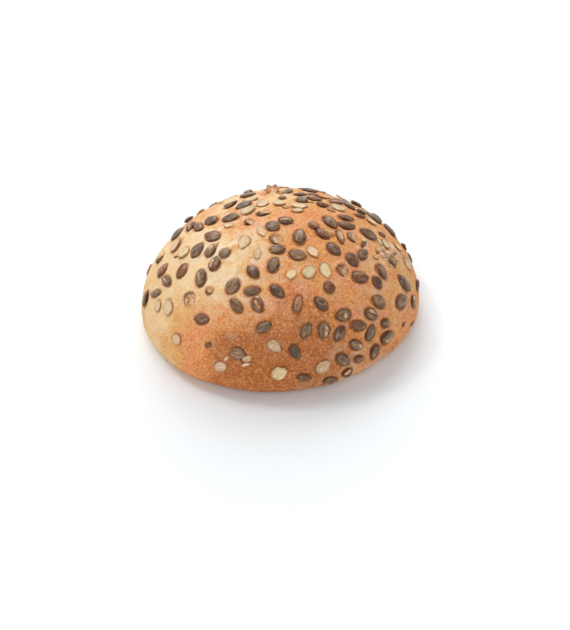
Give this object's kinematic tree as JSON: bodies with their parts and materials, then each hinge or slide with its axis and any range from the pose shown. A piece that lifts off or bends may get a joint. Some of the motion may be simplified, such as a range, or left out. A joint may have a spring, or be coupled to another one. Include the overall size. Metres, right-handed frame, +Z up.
{
  "type": "pumpkin seed loaf",
  "caption": "Round country loaf with a domed, seeded crust: hulled pumpkin seeds and pale split kernels baked on; stands on its flat base.",
  "frame": {"origin": "on the surface that the loaf stands on, under the middle of its outline with its seeds", "axes": "+Z up, -Y towards the side with the fullest seeding"},
  "size_m": [0.1898, 0.193, 0.085],
  "materials": {
    "crust": "matt baked crust, golden to orange-brown, finely speckled, dusted with flour",
    "seed_skin": "satin roasted seed skin, olive-grey to brown",
    "burst_skin": "satin roasted seed skin, cracked open over a tan inside",
    "kernel": "matt cream cut face of a split kernel with a thin brown rim"
  },
  "bodies": {
    "root": {"loaf": "crust", "whole_seed_01": "seed_skin", "whole_seed_02": "seed_skin", "whole_seed_03": "seed_skin", "whole_seed_04": "seed_skin", "whole_seed_05": "seed_skin", "whole_seed_06": "seed_skin", "whole_seed_07": "seed_skin", "whole_seed_08": "seed_skin", "whole_seed_09": "seed_skin", "whole_seed_10": "seed_skin", "whole_seed_11": "seed_skin", "whole_seed_12": "seed_skin", "whole_seed_13": "seed_skin", "whole_seed_14": "seed_skin", "whole_seed_15": "seed_skin", "whole_seed_16": "seed_skin", "whole_seed_17": "seed_skin", "whole_seed_18": "seed_skin", "whole_seed_19": "seed_skin", "whole_seed_20": "seed_skin", "whole_seed_21": "seed_skin", "whole_seed_22": "seed_skin", "whole_seed_23": "seed_skin", "whole_seed_24": "seed_skin", "whole_seed_25": "seed_skin", "whole_seed_26": "seed_skin", "whole_seed_27": "seed_skin", "whole_seed_28": "seed_skin", "whole_seed_29": "seed_skin", "whole_seed_30": "seed_skin", "whole_seed_31": "seed_skin", "whole_seed_32": "seed_skin", "whole_seed_33": "seed_skin", "whole_seed_34": "seed_skin", "whole_seed_35": "seed_skin", "whole_seed_36": "seed_skin", "far_seed_01": "seed_skin", "far_seed_02": "seed_skin", "far_seed_03": "seed_skin", "far_seed_04": "seed_skin", "far_seed_05": "seed_skin", "far_seed_06": "seed_skin", "far_seed_07": "seed_skin", "far_seed_08": "seed_skin", "far_seed_09": "seed_skin", "far_seed_10": "seed_skin", "far_seed_11": "seed_skin", "far_seed_12": "seed_skin", "burst_seed_01": "burst_skin", "burst_seed_02": "burst_skin", "burst_seed_03": "burst_skin", "burst_seed_04": "burst_skin", "burst_seed_05": "burst_skin", "split_kernel_01": "kernel", "split_kernel_02": "kernel", "split_kernel_03": "kernel", "split_kernel_04": "kernel", "split_kernel_05": "kernel", "split_kernel_06": "kernel"}
  },
  "joints": []
}
